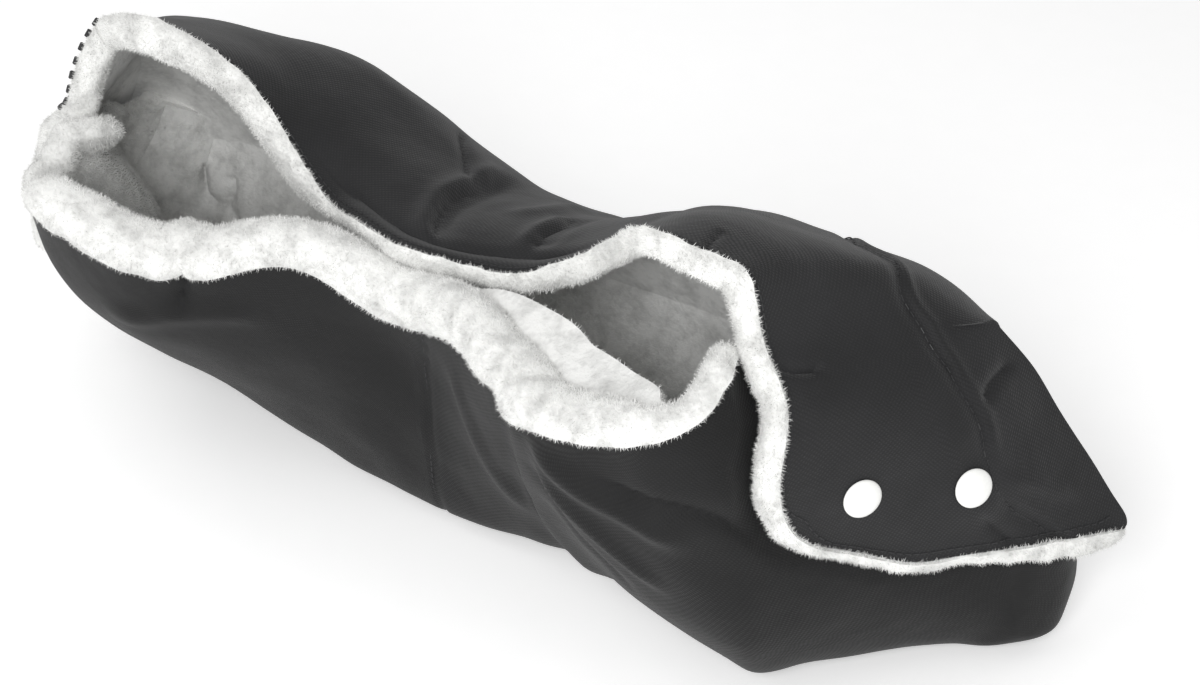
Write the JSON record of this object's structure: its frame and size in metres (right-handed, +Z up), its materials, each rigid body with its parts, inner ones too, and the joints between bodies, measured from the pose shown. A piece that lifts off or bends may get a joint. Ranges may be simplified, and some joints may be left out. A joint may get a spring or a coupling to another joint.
{
  "type": "stroller hand muff",
  "caption": "Quilted hand muff that wraps a pushchair handle, with a plush-lined pouch, a folding cover, two hand mouths and snap-down side flaps.",
  "frame": {"origin": "middle of the footprint of the muff's bounding box, on the plane that its flat patch rests on", "axes": "+X runs along the handle to the right-hand end, -Y faces the person who pushes, +Z is up"},
  "size_m": [0.5402, 0.1822, 0.1963],
  "materials": {
    "shell_cloth": "matt woven",
    "wadding": "fibre padding",
    "plush": "short plush pile",
    "hook_tape": "hook and loop tape",
    "snap_plastic": "smooth satin"
  },
  "bodies": {
    "pouch": {"pouch_shell": "shell_cloth", "pouch_wadding": "wadding", "pouch_lining": "plush", "pouch_lip_band": "plush", "closure_hook_patch": "hook_tape", "right_front_snap_stud": "snap_plastic", "right_front_snap_post": "snap_plastic", "right_rear_snap_stud": "snap_plastic", "right_rear_snap_post": "snap_plastic", "left_front_snap_stud": "snap_plastic", "left_front_snap_post": "snap_plastic", "left_rear_snap_stud": "snap_plastic", "left_rear_snap_post": "snap_plastic"},
    "cover": {"cover_shell": "shell_cloth", "cover_wadding": "wadding", "cover_lining": "plush", "cover_hem_band": "plush", "closure_loop_patch": "hook_tape"},
    "right_flap": {"right_flap_shell": "shell_cloth", "right_flap_wadding": "wadding", "right_flap_lining": "plush", "right_flap_hem_band": "plush", "right_front_snap_cap": "snap_plastic", "right_front_snap_socket": "snap_plastic", "right_rear_snap_cap": "snap_plastic", "right_rear_snap_socket": "snap_plastic"},
    "left_flap": {"left_flap_shell": "shell_cloth", "left_flap_wadding": "wadding", "left_flap_lining": "plush", "left_flap_hem_band": "plush", "left_front_snap_cap": "snap_plastic", "left_front_snap_socket": "snap_plastic", "left_rear_snap_cap": "snap_plastic", "left_rear_snap_socket": "snap_plastic"}
  },
  "joints": [
    {"name": "cover_fold", "type": "hinge", "parent": "pouch", "child": "cover", "pos_m": [0, 0.09118, 0.08], "axis": [-1, 0, 0], "range_deg": [0, 110]},
    {"name": "right_flap_fold", "type": "hinge", "parent": "cover", "child": "right_flap", "pos_m": [0.16455, -0.03854, 0.15792], "axis": [-0.4882, -0.861, 0.1426], "range_deg": [0, 120]},
    {"name": "left_flap_fold", "type": "hinge", "parent": "cover", "child": "left_flap", "pos_m": [-0.16455, -0.03854, 0.15792], "axis": [-0.4882, 0.861, -0.1426], "range_deg": [0, 120]}
  ]
}
